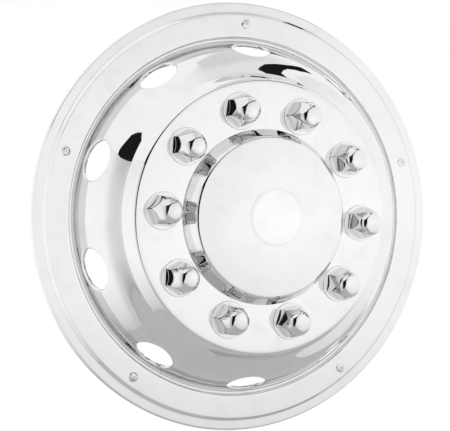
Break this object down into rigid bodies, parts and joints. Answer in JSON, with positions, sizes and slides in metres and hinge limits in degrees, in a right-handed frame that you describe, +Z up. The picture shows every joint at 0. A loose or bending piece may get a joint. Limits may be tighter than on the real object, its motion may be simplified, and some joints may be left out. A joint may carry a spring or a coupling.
{
  "type": "truck wheel simulator",
  "caption": "Bright pressed wheel cover for a truck's front wheel, with hand holes, covered wheel nuts, a domed hub cap and riveted rim clips.",
  "frame": {"origin": "centre of the ten-stud circle, on the wheel's axis, at the back face of the lug plate", "axes": "+Y along the wheel's axis, inwards to the wheel; the face looks to -Y; +Z up, through one hand hole and one rivet"},
  "size_m": [0.587, 0.1432, 0.587],
  "materials": {
    "polished_sheet": "mirror polished pressed stainless steel",
    "hub_cap_chrome": "mirror polished drawn stainless steel",
    "nut_cover_chrome": "bright chrome plate",
    "rivet_steel": "bright stainless steel, slightly satin",
    "clip_steel": "rolled spring steel"
  },
  "bodies": {
    "root": {"wheel_cover": "polished_sheet", "hub_cap": "hub_cap_chrome", "nut_cover_01": "nut_cover_chrome", "nut_cover_02": "nut_cover_chrome", "nut_cover_03": "nut_cover_chrome", "nut_cover_04": "nut_cover_chrome", "nut_cover_05": "nut_cover_chrome", "nut_cover_06": "nut_cover_chrome", "nut_cover_07": "nut_cover_chrome", "nut_cover_08": "nut_cover_chrome", "nut_cover_09": "nut_cover_chrome", "nut_cover_10": "nut_cover_chrome", "rivet_01": "rivet_steel", "rivet_02": "rivet_steel", "rivet_03": "rivet_steel", "rivet_04": "rivet_steel", "rivet_05": "rivet_steel", "rim_clip_01": "clip_steel", "rim_clip_02": "clip_steel", "rim_clip_03": "clip_steel", "rim_clip_04": "clip_steel", "rim_clip_05": "clip_steel"}
  },
  "joints": []
}
